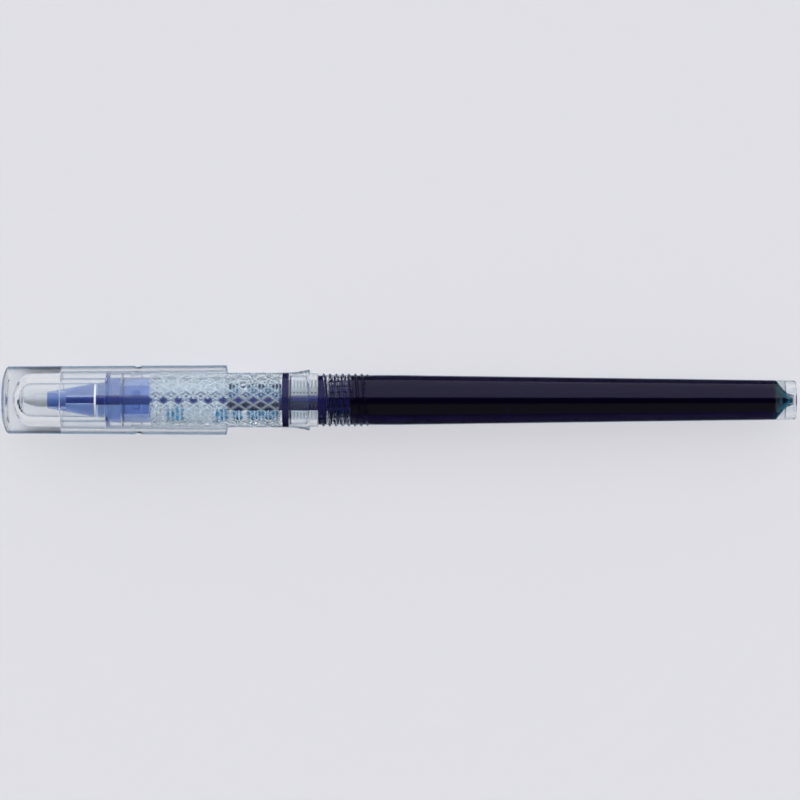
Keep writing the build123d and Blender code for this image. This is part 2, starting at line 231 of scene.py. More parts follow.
def smooth(piece):
    """Smooth shading with an edge kept crisp wherever two faces meet at more than SHARP."""
    piece.data.polygons.foreach_set("use_smooth", [True] * len(piece.data.polygons))
    piece.data.set_sharp_from_angle(angle=SHARP)


print("an edge stays crisp above", round(math.degrees(SHARP)), "degrees")


# %% [markdown]
# ## Nodes
# Geometry Nodes and shaders are both trees, so one small function serves both. A value given as a
# node stands for that node's first output. Colours are written as sRGB hex codes, as on a colour
# card, and one function turns them into the linear values that Blender works in.

# %% a node with its settings and links


def add(tree, kind, inputs=None, **settings):
    """Adds one node. inputs maps a socket's name or number to a value, a socket or another node."""
    node = tree.nodes.new(kind)
    for key, value in settings.items():
        setattr(node, key, value)
    for socket, value in (inputs or {}).items():
        if isinstance(value, bpy.types.Node):
            value = value.outputs[0]
        if isinstance(value, bpy.types.NodeSocket):
            tree.links.new(value, node.inputs[socket])
        else:
            node.inputs[socket].default_value = value
    return node


def hex_colour(code):
    """An sRGB hex colour as the linear colour that Blender works in."""
    parts = [int(code[place:place + 2], 16) / 255 for place in (1, 3, 5)]
    return [c / 12.92 if c <= 0.04045 else ((c + 0.055) / 1.055) ** 2.4 for c in parts] + [1.0]


def maths(tree, operation, *values):
    """One Math node on the values."""
    return add(tree, "ShaderNodeMath", dict(enumerate(values)), operation=operation)


def ramp(tree, value, low, high, first=0.0, last=1.0, **settings):
    """Carries the value's range low to high over to the range first to last."""
    return add(tree, "ShaderNodeMapRange", {
        "Value": value, "From Min": low, "From Max": high, "To Min": first, "To Max": last,
    }, **settings)


print("mid grey #808080 is", round(hex_colour("#808080")[0], 3), "in linear light")

# %% what every material starts with


def new_material(name):
    """An empty material, its tree, and the place on the object that its textures are drawn by."""
    material = bpy.data.materials.new(name)
    material.use_nodes = True
    tree = material.node_tree
    tree.nodes.clear()
    print("material:", name)
    return material, tree, add(tree, "ShaderNodeTexCoord").outputs["Object"]


def noise(tree, place, size, detail, stretch=1):
    """A noise with patches of the given size, drawn out along X by the stretch."""
    if stretch > 1:
        place = add(tree, "ShaderNodeMapping", {"Vector": place, "Scale": (1 / stretch, 1, 1)})
    return add(tree, "ShaderNodeTexNoise", {"Vector": place, "Scale": 1 / size, "Detail": detail})


def tones(tree, share, first, second):
    """A colour between two, each given as a hex code or a socket."""
    pair = [hex_colour(tone) if isinstance(tone, str) else tone for tone in (first, second)]
    return add(tree, "ShaderNodeMix", {0: share, 6: pair[0], 7: pair[1]}, data_type="RGBA").outputs[2]


# %% [markdown]
# ## Clear mouldings
# A clear polymer is a Principled shader with full transmission. Injection moulding leaves a gloss
# surface with very fine flow lines along the pull, drawn here as a stretched noise in the bump and
# the roughness. A thick wall looks blue-grey where the eye looks along it, which a tint by Layer
# Weight gives. Faces that were spark-eroded in the mould are frosted: their haze comes from an
# attribute that the knurl leaves on the mesh. Light that only casts shadows passes straight
# through a transparent stand-in, so that lamps reach what is inside. Where light is still caught
# in the walls after many turns, the wall glows with painted light, an emission in the backdrop
# colour.

# %% clear polymer
FLOW_LINE = 0.35 * MM      # width of a flow line on a moulded wall
FLOW_STRETCH = 9           # a flow line is this many times longer than it is wide
CLOUD = 6 * MM             # size of the patches in which the tint wanders
BACKDROP = "#dcdce2"       # what surrounds the pen, as seen through it
TRAPPED = 14               # a ray still inside the walls after this many turns meets the painted glow
PAINTED_GLOW_SHARE = 0.8            # how bright the painted glow is, as a share of the backdrop
RIM = (0.5, 0.68)          # 1 - cosine of the viewing angle where the rim tint starts and is full


def lamp_light_passes(tree, rays, surface, tint):
    """Closes a tree: light that only casts shadows goes straight through, in the tint."""
    through = add(tree, "ShaderNodeBsdfTransparent", {"Color": hex_colour(tint)})
    shown = add(tree, "ShaderNodeMixShader", {0: rays["Is Shadow Ray"], 1: surface, 2: through})
    add(tree, "ShaderNodeOutputMaterial", {"Surface": shown})


def clear_polymer(name, tint, shade, ior, roughness, haze=0.0, body="#ffffff", rim=None, frost=0.0):
    """Moulded clear polymer, whose tint wanders between tint and shade.

    haze is the share of light that the polymer scatters as body colour, rim is the tint where the
    eye looks along a wall, and frost is the haze of the faces that the knurl cuts.
    """
    material, tree, place = new_material(name)
    flow = noise(tree, place, FLOW_LINE, 2.0, FLOW_STRETCH)
    rough = ramp(tree, flow, 0.0, 1.0, roughness, roughness * 1.8)
    bump = add(tree, "ShaderNodeBump", {"Height": flow, "Strength": 0.06, "Distance": 0.01 * MM})
    tone = tones(tree, noise(tree, place, CLOUD, 1.0), tint, shade)
    if rim:
        facing = add(tree, "ShaderNodeLayerWeight", {"Blend": 0.5}).outputs["Facing"]
        tone = tones(tree, ramp(tree, facing, *RIM), tone, rim)
    surface = add(tree, "ShaderNodeBsdfPrincipled", {
        "Base Color": tone, "Roughness": rough, "IOR": ior, "Normal": bump, "Transmission Weight": 1.0,
    })
    if haze:
        scatter = add(tree, "ShaderNodeBsdfPrincipled", {
            "Base Color": hex_colour(body), "Roughness": 0.5, "IOR": ior, "Normal": bump,
        })
        share = haze
        if frost:
            cut = add(tree, "ShaderNodeAttribute", attribute_name="cut").outputs["Fac"]
            share = ramp(tree, cut, 0.0, 1.0, haze, frost)
        surface = add(tree, "ShaderNodeMixShader", {0: share, 1: surface, 2: scatter})
    rays = add(tree, "ShaderNodeLightPath").outputs
    # painted light: a ray still inside the walls after TRAPPED turns sees the wall glow in the backdrop
    # colour
    trapped = maths(tree, "GREATER_THAN", rays["Ray Depth"], TRAPPED)
    glow = add(tree, "ShaderNodeEmission", {"Color": hex_colour(BACKDROP), "Strength": PAINTED_GLOW_SHARE})
    lit = add(tree, "ShaderNodeMixShader", {0: trapped, 1: surface, 2: glow})
    lamp_light_passes(tree, rays, lit, tint)
    return material


# styrene acrylonitrile, injection moulded and glossy: glass-clear with a cold blue cast at the rim
cap_san = clear_polymer("styrene_acrylonitrile_moulded", "#fdfeff", "#fafdfe", 1.57, 0.015,
                        rim="#6884a2")
# clear polypropylene: a little softer in gloss than the cap, frosted in the knurl
housing_clear = clear_polymer("clear_polypropylene_moulded", "#fdfeff", "#fafdfe", 1.49, 0.03, 0.01,
                              "#c8dcea", rim="#8ca0b4", frost=0.4)
# clear ABS for the thin fins, wetted here and there, so it looks faintly cyan
comb_clear = clear_polymer("clear_abs_moulded", "#fbfeff", "#f4fbfe", 1.5, 0.05, 0.03, "#eef8fc")
# reservoir tube, extrusion blow moulded polypropylene
reservoir_clear = clear_polymer("clear_polypropylene_tube", "#fafcfe", "#f5f9fc", 1.49, 0.02)
# blue polypropylene, translucent: dye in the polymer and a slight milkiness
holder_blue = clear_polymer("blue_polypropylene_moulded", "#b9cdf4", "#adc3f0", 1.49, 0.06, 0.06,
                            "#7f9fe0")
# the same polymer on the faces of the groove behind the cone, drawn matt and white
holder_white = clear_polymer("white_groove_polypropylene", "#ffffff", "#f6faff", 1.49, 0.4, 0.95)

# %% [markdown]
# ## Metals
# The point is turned stainless steel: the tool leaves fine rings round the axis, which a wave
# texture along X gives. The ball is tungsten carbide, lapped, darker and finely pitted.

# %% turned steel and lapped carbide
TURNING_PITCH = 0.06 * MM  # tool rings; finer on the real point, drawn as coarse as they show
CARBIDE_PIT = 0.02 * MM    # size of a pit in the lapped ball
GRAIN = 0.2 * MM           # size of the patches in a metal's tone


def metal(name, colour, worn, roughness, metallic):
    """A metal with a fine noise in its tone and roughness; more can be linked to its shader."""
    material, tree, place = new_material(name)
    grain = noise(tree, place, GRAIN, 3.0)
    shader = add(tree, "ShaderNodeBsdfPrincipled", {
        "Base Color": tones(tree, grain, colour, worn), "Metallic": metallic,
        "Roughness": ramp(tree, grain, 0.0, 1.0, roughness * 0.7, roughness * 1.4),
    })
    add(tree, "ShaderNodeOutputMaterial", {"Surface": shader})
    return material, place, shader


def engraved(material, shader, pattern, strength, depth):
    """Gives a metal the relief of a pattern."""
    tree = material.node_tree
    relief = add(tree, "ShaderNodeBump", {"Height": pattern, "Strength": strength, "Distance": depth * MM})
    tree.links.new(relief.outputs[0], shader.inputs["Normal"])


steel, place, shader = metal("turned_stainless_steel", "#d6d9de", "#c6ccd4", 0.35, 0.4)
rings = add(steel.node_tree, "ShaderNodeTexWave", {
    "Vector": place, "Scale": 0.05 / TURNING_PITCH, "Distortion": 0.3, "Detail": 1.0,
}, bands_direction="X")
engraved(steel, shader, rings, 0.25, 0.004)

carbide, place, shader = metal("lapped_tungsten_carbide", "#8d9096", "#7c7f86", 0.22, 1.0)
pits = add(carbide.node_tree, "ShaderNodeTexVoronoi", {"Vector": place, "Scale": 1 / CARBIDE_PIT})
engraved(carbide, shader, pits, 0.15, 0.002)

# %% [markdown]
# ## Ink and wick
# Dye ink is so strong that a millimetre of it is black; only its surface against the clear wall
# shows a violet sheen. A film a tenth of a millimetre thick is teal or cyan instead. The wick is
# bonded polyester fibre, soaked blue, with its fibres lying along X.

# %% inks and soaked fibre
FIBRE = 0.03 * MM          # a fibre's width
STREAK_STRETCH = 25        # a streak or a fibre is this many times longer than it is wide
POOL = 0.8 * MM            # size of the patches in a film of ink
INK_IOR = 1.34             # water with dye


def opaque(name, colour, variant, scale, roughness, specular, sheen="#ffffff"):
    """An opaque material whose colour wanders between two tones, in streaks along X."""
    material, tree, place = new_material(name)
    streak = noise(tree, place, scale, 2.0, STREAK_STRETCH)
    shader = add(tree, "ShaderNodeBsdfPrincipled", {
        "Base Color": tones(tree, streak, colour, variant), "Roughness": roughness,
        "Specular IOR Level": specular, "Specular Tint": hex_colour(sheen),
    })
    add(tree, "ShaderNodeOutputMaterial", {"Surface": shader})
    return material


def thin_ink(name, colour, deeper):
    """A film of ink, thin enough to see through."""
    material, tree, place = new_material(name)
    film = add(tree, "ShaderNodeBsdfPrincipled", {
        "Base Color": tones(tree, noise(tree, place, POOL, 2.0), colour, deeper),
        "Roughness": 0.05, "IOR": INK_IOR, "Transmission Weight": 1.0,
    })
    rays = add(tree, "ShaderNodeLightPath").outputs
    lamp_light_passes(tree, rays, film, colour)
    return material


# a millimetre of dye ink: black, with a violet sheen where it wets the wall
blue_black_ink = opaque("dye_ink_blue_black", "#030208", "#05040e", 1.5 * MM, 0.16, 0.4, "#7a5cff")
# ink in a slot or a joint, a few tenths of a millimetre thick: dark blue-violet
band_ink = opaque("dye_ink_in_slots", "#14113a", "#1e2050", 0.6 * MM, 0.5, 0.05, "#8a66ff")
# bonded polyester fibre, soaked
soaked_fibre = opaque("bonded_fibre_soaked_blue", "#1c1f6e", "#262c84", FIBRE, 0.7, 0.05)
# films of ink between fins and against walls, from pale to deep
cyan_film = thin_ink("dye_ink_thin_film", "#4fb4e0", "#2f8fc8")
teal_film = thin_ink("dye_ink_thin_edge", "#1f8fa8", "#157a94")
trace_film = thin_ink("dye_ink_trace", "#a2cdec", "#8abbe4")
neck_film = thin_ink("dye_ink_neck_film", "#2c4f94", "#1f3a78")

# %% [markdown]
# ## Writing point
# A turned steel cone holds a 0.8 mm ball in its lip. The cone, lip and shank are one outline; a
# shallow waist behind the lip is where the tool crimped it over the ball.

# %% ball and point
POINT_CONE = 2.4           # length
LIP_R = 0.45
BALL_FIT = 0.02
FEED_R = 0.2
WICK_STOP = 1.6            # behind the lip's face, as the next two also are
CRIMP = (0.28, 0.09)       # the second number is how far outside the lip's radius
WAIST = (0.36, 0.07)
BALL_STEPS = 32
CUP_STEPS = 8

ball_x = (ball_front + ball_rear) / 2
ball_outline = [
    (ball_x - ball_r * math.cos(turn), max(0.0, ball_r * math.sin(turn)))
    for turn in stations(0, math.pi, math.pi / BALL_STEPS)
]
ball = turned("ball", ball_outline, closed=False, around=64)
ball.data.materials.append(carbide)

cup_r = ball_r + BALL_FIT
lip_inner_r = math.sqrt(cup_r ** 2 - (point_lip - ball_x) ** 2)
cup_end = ball_x + math.sqrt(cup_r ** 2 - FEED_R ** 2)
start = math.atan2(lip_inner_r, point_lip - ball_x)
stop = math.atan2(FEED_R, cup_end - ball_x)
cup = []
for step in range(CUP_STEPS + 1):
    angle = start + (stop - start) * step / CUP_STEPS
    cup.append((ball_x + cup_r * math.cos(angle), cup_r * math.sin(angle)))
wick_stop = point_lip + WICK_STOP
point_outline = [
    (point_lip, LIP_R, 0.02),
    (point_lip + CRIMP[0], LIP_R + CRIMP[1]),
    (point_lip + WAIST[0], LIP_R + WAIST[1]),
    (point_lip + POINT_CONE, point_r, 0.8),
    (shank_rear, point_r, 0.06),
    (shank_rear, WICK_BORE),
    (wick_stop, WICK_BORE),
    (wick_stop, FEED_R),
] + cup[::-1]
point = turned("turned_point", point_outline)
point.data.materials.append(steel)
print("ball and point:", len(ball.data.polygons) + len(point.data.polygons), "faces")

# %% [markdown]
# ## Tip holder
# One blue moulding grips the point, seals the cap on its land and plugs the housing. Its bore is
# a hair wider than the wick in the nose, so air lies between them there. The groove behind the
# cone shows a white line, so its faces get a second material, matt and white.

# %% tip holder
NOSE_WALL = 0.21
LAND_R = (2.75, 2.9)
LAND_FRONT = -33.55
LAND_REAR = -32.25
FLANGE_FRONT = -32.0
NECK_GROOVE = (0.3, 0.16)  # width, depth
LEAD_IN = 0.25             # how far the land and its seat open at their rear ends
SOCKET_FLOOR = plug_rear - 4.6

shank_bore = point_r + FIT
groove_front = LAND_FRONT - NECK_GROOVE[0]
nose_rear_r = LAND_R[0] - 0.05
holder_outline = [
    (nose_front, shank_bore),
    (nose_front, shank_bore + NOSE_WALL, 0.1),
    (groove_front, nose_rear_r, 0.04),
    (groove_front, nose_rear_r - NECK_GROOVE[1]),
    (LAND_FRONT, nose_rear_r - NECK_GROOVE[1]),
    (LAND_FRONT, LAND_R[0], 0.04),
    (LAND_REAR, LAND_R[1]),
    (FLANGE_FRONT, LAND_R[1] + LEAD_IN),
    (FLANGE_FRONT, flange_r, 0.05),
    (housing_front, flange_r, 0.03),
    (housing_front, HOUSING_BORE - FIT),
    (plug_rear, HOUSING_BORE - FIT, 0.1),
    (plug_rear, SOCKET_R),
    (SOCKET_FLOOR, SOCKET_R),
    (SOCKET_FLOOR, WICK_BORE),
    (shank_rear, WICK_BORE),
    (shank_rear, shank_bore),
]
holder = turned("holder_moulding", holder_outline)
holder.data.materials.append(holder_blue)
holder.data.materials.append(holder_white)
for face in holder.data.polygons:
    in_groove = groove_front - FIT < face.center.x / MM < LAND_FRONT + FIT
    if in_groove and math.hypot(*face.center.yz) / MM > shank_bore:
        face.material_index = 1
print("holder:", len(holder.data.polygons), "faces")

# %% [markdown]
# ## Wick
# In the nose the wick stands clear of its bore. From the plug on, ink fills that gap, and a wet
# wick with no air round it looks wider through the clear walls. So the rod swells there by the
# gap's width and a touch more, which puts it in contact. Flutes give the fibre bundle its ribs.

# %% fluted wick
WET_FROM = groove_front
WET_R = WICK_BORE + FIT
FLUTES = 16
FLUTE_DEPTH = 0.012
TIP_FLAT = 0.6             # flat of the wick's tip, as a share of its radius
SWELL = 0.2                # length over which the rod swells

wick = turned("fibre_wick", [
    (wick_front, 0),
    (wick_front, wick_r * TIP_FLAT),
    (wick_front + wick_r / 2, wick_r),
    (WET_FROM, wick_r),
    (WET_FROM + SWELL, WET_R),
    (comb_rear - 0.1, WET_R),
    (comb_rear, wick_r),
    (wick_rear, wick_r, 0.1),
    (wick_rear, 0),
], closed=False, around=FLUTES * 6)
for vertex in wick.data.vertices:
    if vertex.co.x / MM < WET_FROM + FIT:
        flute = FLUTE_DEPTH * (1 - math.cos(FLUTES * math.atan2(vertex.co.z, vertex.co.y))) / 2
        radius = math.hypot(vertex.co.y, vertex.co.z)
        if radius > wick_r * MM / 2:
            vertex.co.yz = vertex.co.yz * (1 - flute * MM / radius)
wick.data.materials.append(soaked_fibre)
print("wick:", len(wick.data.polygons), "faces")

# %% [markdown]
# ## Collector
# The comb is a core with about fifty thin fins, in four stretches of constant pitch. What repeats
# is a job for Geometry Nodes: a line of points, one disc on each, and a Boolean union that welds
# the discs to the core. The same tree runs once for each stretch with its own numbers. The wick's
# bore, the air slot and the ink slot are cut afterwards through all of them.

# %% the fin tree


def material_end(tree, geometry, material):
    """Realises instances, sets the material and closes the tree."""
    real = add(tree, "GeometryNodeRealizeInstances", {"Geometry": geometry})
    painted = add(tree, "GeometryNodeSetMaterial", {"Geometry": real, "Material": material})
    add(tree, "NodeGroupOutput", {0: painted})
    print(f"{tree.name}: {len(tree.nodes)} nodes")


def new_tree(name, sizes, whole=()):
    """An empty geometry tree with a mesh, named sizes, named whole numbers and a material."""
    tree = bpy.data.node_groups.new(name, "GeometryNodeTree")
    face = tree.interface
    face.new_socket("Geometry", in_out="INPUT", socket_type="NodeSocketGeometry")
    for size in sizes:
        face.new_socket(size, in_out="INPUT", socket_type="NodeSocketFloat")
    for count in whole:
        face.new_socket(count, in_out="INPUT", socket_type="NodeSocketInt")
    face.new_socket("Material", in_out="INPUT", socket_type="NodeSocketMaterial")
    face.new_socket("Geometry", in_out="OUTPUT", socket_type="NodeSocketGeometry")
    return tree, add(tree, "NodeGroupInput").outputs


def line_of_points(tree, given, first):
    """Count points along X: the first at the named size, the others a Pitch apart."""
    start = add(tree, "ShaderNodeCombineXYZ", {"X": given[first]})
    step = add(tree, "ShaderNodeCombineXYZ", {"X": given["Pitch"]})
    return add(tree, "GeometryNodeMeshLine", {
        "Count": given["Count"], "Start Location": start, "Offset": step,
    }, mode="OFFSET")


fin_tree, given = new_tree("comb_fins", ("First fin", "Pitch", "Thickness", "Radius"), ("Count",))
row = line_of_points(fin_tree, given, "First fin")
disc = add(fin_tree, "GeometryNodeMeshCylinder", {
    "Vertices": 144, "Radius": given["Radius"], "Depth": given["Thickness"],
})
laid = add(fin_tree, "GeometryNodeTransform", {"Geometry": disc, "Rotation": (0, math.pi / 2, 0)})
fins = add(fin_tree, "GeometryNodeInstanceOnPoints", {"Points": row, "Instance": laid})
real_fins = add(fin_tree, "GeometryNodeRealizeInstances", {"Geometry": fins})
welded = add(fin_tree, "GeometryNodeMeshBoolean", {"Mesh 2": given["Geometry"]}, operation="UNION",
             solver="MANIFOLD")
fin_tree.links.new(real_fins.outputs[0], welded.inputs["Mesh 2"])
material_end(fin_tree, welded.outputs["Mesh"], given["Material"])


def grow(piece, tree, sizes):
    """Adds the tree as a modifier, with its inputs set by their identifiers."""
    modifier = piece.modifiers.new(tree.name, "NODES")
    modifier.node_group = tree
    sockets = [item for item in tree.interface.items_tree if item.in_out == "INPUT"]
    identifiers = {socket.name: socket.identifier for socket in sockets}
    for name, value in sizes.items():
        modifier[identifiers[name]] = value


def settle(piece):
    """Turns the evaluated result into a plain mesh and removes the modifiers."""
    shown = piece.evaluated_get(bpy.context.evaluated_depsgraph_get())
    mesh = bpy.data.meshes.new_from_object(shown)
    piece.modifiers.clear()
    piece.data = mesh
    print(f"{piece.name}: {len(mesh.polygons)} faces")


# %% box cutters, and cutting


def leaning(x, side, high, angle):
    """A place along, across and above the axis, turned round X by an angle from the top."""
    turn = math.radians(angle)
    y = side * math.cos(turn) + high * math.sin(turn)
    z = high * math.cos(turn) - side * math.sin(turn)
    return Vector((x, y, z))


def slot_cutter(name, front, rear, inner, outer, width, angle):
    """A box that stands on the axis between two radii, turned round X by an angle from the top."""
    bm = bmesh.new()
    bmesh.ops.create_cube(bm, size=1)
    for vertex in bm.verts:
        x = (front + rear) / 2 + vertex.co.x * (rear - front)
        high = (inner + outer) / 2 + vertex.co.z * (outer - inner)
        vertex.co = leaning(x, vertex.co.y * width, high, angle) * MM
    return finished(name, bm)


def combine(piece, others, operation):
    """Adds or cuts other closed meshes with the Boolean modifier, then throws them away."""
    for other in others:
        modifier = piece.modifiers.new(other.name, "BOOLEAN")
        modifier.object = other
        modifier.operation = operation
        modifier.solver = "MANIFOLD"
    settle(piece)
    for other in others:
        bpy.data.objects.remove(other)


AIR_SLOT = (0.8, 14)       # width, degrees round from the top towards +Y
INK_SLOT = (0.2, -24)
print(f"the slots stand {AIR_SLOT[1] - INK_SLOT[1]} degrees apart")

# %% comb: core, fins, bore and slots
COARSE_PITCH = 0.73
FINE_PITCH = 0.545
FIN_SHARE = 0.48           # a fin's thickness, as a share of the pitch
COMB_FRONT = plug_rear + 0.3
FINE_FROM = COMB_FRONT + 12.1
VENT_X = -10.4
VENT_CHAMBER = 1.1         # length without fins under the vent
NECK_COMB = -2.98

comb = turned("comb_moulding", [
    (boss_front, 0),
    (boss_front, BOSS_R, 0.05),
    (COMB_FRONT, BOSS_R),
    (COMB_FRONT, CORE_R),
    (comb_rear, CORE_R),
    (comb_rear, 0),
], closed=False, around=144)
comb.data.materials.append(comb_clear)
housing_comb_end = counterbore - 0.15
stretches = (
    (COMB_FRONT, FINE_FROM, COARSE_PITCH, fin_r),
    (FINE_FROM, VENT_X - VENT_CHAMBER / 2, FINE_PITCH, fin_r),
    (VENT_X + VENT_CHAMBER / 2, housing_comb_end, FINE_PITCH, fin_r),
    (NECK_COMB, comb_rear, FINE_PITCH, NECK_BORE - FIN_FIT),
)
fins = 0
for front, rear, pitch, radius in stretches:
    count = int((rear - front - pitch * FIN_SHARE) / pitch) + 1
    fins += count
    grow(comb, fin_tree, {
        "First fin": (front + pitch * FIN_SHARE / 2) * MM,
        "Pitch": pitch * MM,
        "Thickness": pitch * FIN_SHARE * MM,
        "Radius": radius * MM,
        "Count": count,
        "Material": comb_clear,
    })
settle(comb)
print(fins, "fins")
bore = turned("bore", [
    (boss_front - 1, 0), (boss_front - 1, WICK_BORE), (comb_rear + 1, WICK_BORE), (comb_rear + 1, 0),
], closed=False, around=96)
air_slot = slot_cutter("air_slot", COMB_FRONT, comb_rear + 1, CORE_R, HOUSING_R, *AIR_SLOT)
ink_slot = slot_cutter("ink_slot", COMB_FRONT, comb_rear + 1, 0, HOUSING_R, *INK_SLOT)
combine(comb, [bore, air_slot, ink_slot], "DIFFERENCE")

# %% [markdown]
# ## Front housing
# The housing is a clear tube that flares into a collar. Its grip is a knurl of 18 lozenges round
# the tube: two families of spiral grooves that cross. That is a rule, so Geometry Nodes carve it:
# each point of the outer wall sinks by its distance to the nearest groove of either family. Before
# the points move, the tree stores how deep each one is cut, and the material frosts by that.

# %% what a rule on an outer wall needs
ON_WALL = 1e-5             # a point this near the wall's radius, in metres, lies on the wall


def wall_fields(tree, given, radius_name):
    """Angle round X, distance behind Front, distance to the nearer end of the pattern, 1 on the
    outer wall and 0 off it, and the direction outwards."""
    place = add(tree, "GeometryNodeInputPosition")
    part = add(tree, "ShaderNodeSeparateXYZ", {0: place}).outputs
    angle = maths(tree, "ARCTAN2", part["Z"], part["Y"])
    behind = maths(tree, "SUBTRACT", part["X"], given["Front"])
    left = maths(tree, "SUBTRACT", given["Rear"], part["X"])
    inside = maths(tree, "MINIMUM", behind, left)
    radial = add(tree, "ShaderNodeCombineXYZ", {"Y": part["Y"], "Z": part["Z"]})
    radius = add(tree, "ShaderNodeVectorMath", {0: radial}, operation="LENGTH").outputs["Value"]
    outer = maths(tree, "COMPARE", radius, given[radius_name], ON_WALL)
    outwards = add(tree, "ShaderNodeVectorMath", {0: radial}, operation="NORMALIZE")
    return angle, behind, inside, outer, outwards


def raised(tree, geometry, height, outer, outwards):
    """Moves the points of the outer wall outwards by the height."""
    masked = maths(tree, "MULTIPLY", height, outer)
    offset = add(tree, "ShaderNodeVectorMath", {0: outwards, "Scale": masked}, operation="SCALE")
    return add(tree, "GeometryNodeSetPosition", {"Geometry": geometry, "Offset": offset})


print("on the wall is within", ON_WALL / MM, "mm")

# %% the knurl tree
FLAT_SHARE = 0.24          # a groove's half width, as a share of the groove spacing

knurl_tree, given = new_tree(
    "crossed_knurl", ("Front", "Rear", "Radius", "Pitch", "Depth", "Fade"), ("Rows",))
angle, behind, inside, outer, outwards = wall_fields(knurl_tree, given, "Radius")
turns = maths(knurl_tree, "DIVIDE", angle, math.tau)
around = maths(knurl_tree, "MULTIPLY", turns, given["Rows"])
along = maths(knurl_tree, "DIVIDE", behind, given["Pitch"])
cuts = []
for family in ("ADD", "SUBTRACT"):
    phase = maths(knurl_tree, family, around, along)
    away = maths(knurl_tree, "PINGPONG", phase, 0.5)
    cuts.append(ramp(knurl_tree, away, 0.0, FLAT_SHARE, 1.0, 0.0))
deeper = maths(knurl_tree, "MAXIMUM", *cuts)
sunk = maths(knurl_tree, "MULTIPLY", deeper, ramp(knurl_tree, inside, 0.0, given["Fade"]))
marked = add(knurl_tree, "GeometryNodeStoreNamedAttribute", {
    "Geometry": given["Geometry"], "Name": "cut", "Value": maths(knurl_tree, "MULTIPLY", sunk, outer),
}, data_type="FLOAT", domain="POINT")
depth = maths(knurl_tree, "MULTIPLY", sunk, given["Depth"])
back = maths(knurl_tree, "MULTIPLY", depth, -1.0)
carved = raised(knurl_tree, marked, back, outer, outwards)
material_end(knurl_tree, carved, given["Material"])

# %% housing and its knurl
KNURL_FRONT = plug_rear
KNURL_REAR = KNURL_FRONT + 20.6
KNURL_PITCH = 2.35
KNURL_ROWS = 18
KNURL_DEPTH = 0.12
KNURL_FADE = 0.3           # the grooves start and stop over this length
STEPS_PER_PITCH = 16
RING_GROOVE = (housing_front + 2.0, 0.1, 0.08)
SNAP_GROOVE = housing_front + 4.3
SNAP_SECTION = ((-1.2, 0), (-0.7, 0.1), (0.7, 0.1), (0.8, 0))  # from its middle, and its depth

flare_start = -FLARE_LENGTH
flare_rise = collar_r - HOUSING_R
flare_arc = (FLARE_LENGTH ** 2 + flare_rise ** 2) / (2 * flare_rise)
flare = []
for x in stations(flare_start, -COLLAR_EDGE, 0.3)[1:]:
    flare.append((x, HOUSING_R + flare_arc - math.sqrt(flare_arc ** 2 - (x - flare_start) ** 2)))
groove_x, groove_half, groove_depth = RING_GROOVE
housing_outline = [
    (housing_front, HOUSING_BORE),
    (housing_front, HOUSING_R, 0.04),
    (groove_x - groove_half, HOUSING_R),
    (groove_x, HOUSING_R - groove_depth),
    (groove_x + groove_half, HOUSING_R),
]
housing_outline += [(SNAP_GROOVE + x, HOUSING_R - depth) for x, depth in SNAP_SECTION]
knurl_rows = stations(KNURL_FRONT, KNURL_REAR, KNURL_PITCH / STEPS_PER_PITCH)
housing_outline += [(x, HOUSING_R) for x in knurl_rows]
housing_outline += [(flare_start, HOUSING_R)] + flare
housing_outline += [
    (0, collar_r - COLLAR_EDGE),
    (0, pilot_r + FIT),
    (-REGISTER_DEPTH - FIT, pilot_r - REGISTER_DROP + FIT),
    (-REGISTER_DEPTH - FIT, counterbore_r),
    (counterbore, counterbore_r),
    (counterbore, HOUSING_BORE),
]
housing = turned("housing_moulding", housing_outline, around=KNURL_ROWS * STEPS_PER_PITCH)
grow(housing, knurl_tree, {
    "Front": KNURL_FRONT * MM, "Rear": KNURL_REAR * MM, "Radius": HOUSING_R * MM,
    "Pitch": KNURL_PITCH * MM, "Depth": KNURL_DEPTH * MM, "Fade": KNURL_FADE * MM,
    "Rows": KNURL_ROWS, "Material": housing_clear,
})
settle(housing)

# %% vent
VENT_R = 0.5
VENT_ANGLE = 37            # degrees round from the top, towards +Y


def drill(name, x, radius, inner, outer, angle):
    """A round cutter that points outwards from the axis, turned round X by an angle from the top."""
    bm = bmesh.new()
    bmesh.ops.create_cone(bm, cap_ends=True, segments=32, radius1=radius * MM, radius2=radius * MM,
                          depth=(outer - inner) * MM)
    for vertex in bm.verts:
        high = vertex.co.z + (inner + outer) / 2 * MM
        vertex.co = leaning(x * MM + vertex.co.x, vertex.co.y, high, angle)
    return finished(name, bm)


vent = drill("vent", VENT_X, VENT_R, HOUSING_BORE - 1, HOUSING_R + 1, VENT_ANGLE)
combine(housing, [vent], "DIFFERENCE")

# %% [markdown]
# ## Reservoir
# A clear tube: spigot, pilot band, threaded neck, long tapered barrel and a closed tail with a
# sealed filling nipple in its recess. The neck's two-start thread is another rule for Geometry
# Nodes: a point rises by its distance, along X, to the nearest turn of the helix.

# %% the thread tree
RUNOUT = 0.3               # the thread rises to its full height over this length

thread_tree, given = new_tree(
    "two_start_thread", ("Front", "Rear", "Root radius", "Lead", "Height", "Base", "Crest"), ("Starts",))
angle, behind, inside, outer, outwards = wall_fields(thread_tree, given, "Root radius")
from_top = maths(thread_tree, "SUBTRACT", angle, math.pi / 2)
turns = maths(thread_tree, "DIVIDE", from_top, math.tau)
leads = maths(thread_tree, "DIVIDE", behind, given["Lead"])
phase = maths(thread_tree, "SUBTRACT", leads, turns)
starts = maths(thread_tree, "MULTIPLY", phase, given["Starts"])
away = maths(thread_tree, "PINGPONG", starts, 0.5)
pitch = maths(thread_tree, "DIVIDE", given["Lead"], given["Starts"])
distance = maths(thread_tree, "MULTIPLY", away, pitch)
half_base = maths(thread_tree, "DIVIDE", given["Base"], 2.0)
half_crest = maths(thread_tree, "DIVIDE", given["Crest"], 2.0)
rise = ramp(thread_tree, distance, half_crest, half_base, given["Height"], 0.0)
